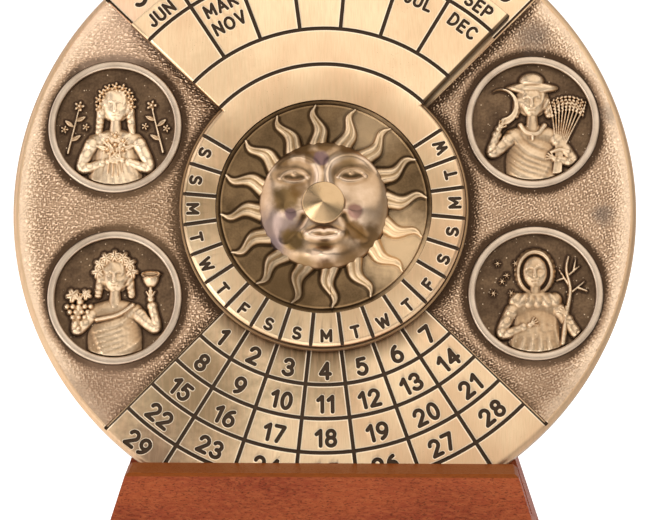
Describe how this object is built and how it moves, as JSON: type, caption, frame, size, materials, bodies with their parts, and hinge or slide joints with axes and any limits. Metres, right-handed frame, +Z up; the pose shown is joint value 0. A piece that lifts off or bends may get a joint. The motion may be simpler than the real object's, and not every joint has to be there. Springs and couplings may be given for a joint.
{
  "type": "perpetual calendar",
  "caption": "Round bronze desk calendar leaning in a wooden foot: a turning dial with a month fan and weekday ring reads against a date table.",
  "frame": {"origin": "centre of the bounding box at the underside of the felt, on the surface that the calendar stands on", "axes": "+Z up, the front of the plate looks towards -Y and leans back towards +Y, +X to the right as seen from the front"},
  "size_m": [0.09, 0.0432, 0.0995],
  "materials": {
    "antique_bronze": "brushed and antiqued, dark in the engraving",
    "dark_bronze": "antiqued relief, rubbed bright on the high places",
    "turned_brass": "turned, fine rings",
    "steel": "zinc plated",
    "fibre": "matt",
    "wood": "satin varnish, open pores",
    "felt": "short pile"
  },
  "bodies": {
    "stand": {"wood_base": "wood", "base_felt": "felt", "plate_screws": "steel", "back_plate": "antique_bronze", "roundel_spring": "dark_bronze", "roundel_summer": "dark_bronze", "roundel_autumn": "dark_bronze", "roundel_winter": "dark_bronze", "pivot_screw": "turned_brass", "slip_washer": "fibre", "back_washer": "steel", "pivot_nut": "turned_brass"},
    "turning_dial": {"dial": "antique_bronze", "sun_disc": "dark_bronze", "spring_washer": "steel"}
  },
  "joints": [
    {"name": "dial_turn", "type": "hinge", "parent": "stand", "child": "turning_dial", "pos_m": [0, 0.00345, 0.0569], "axis": [0, -0.9511, 0.309], "range_deg": [-117, 114]}
  ]
}
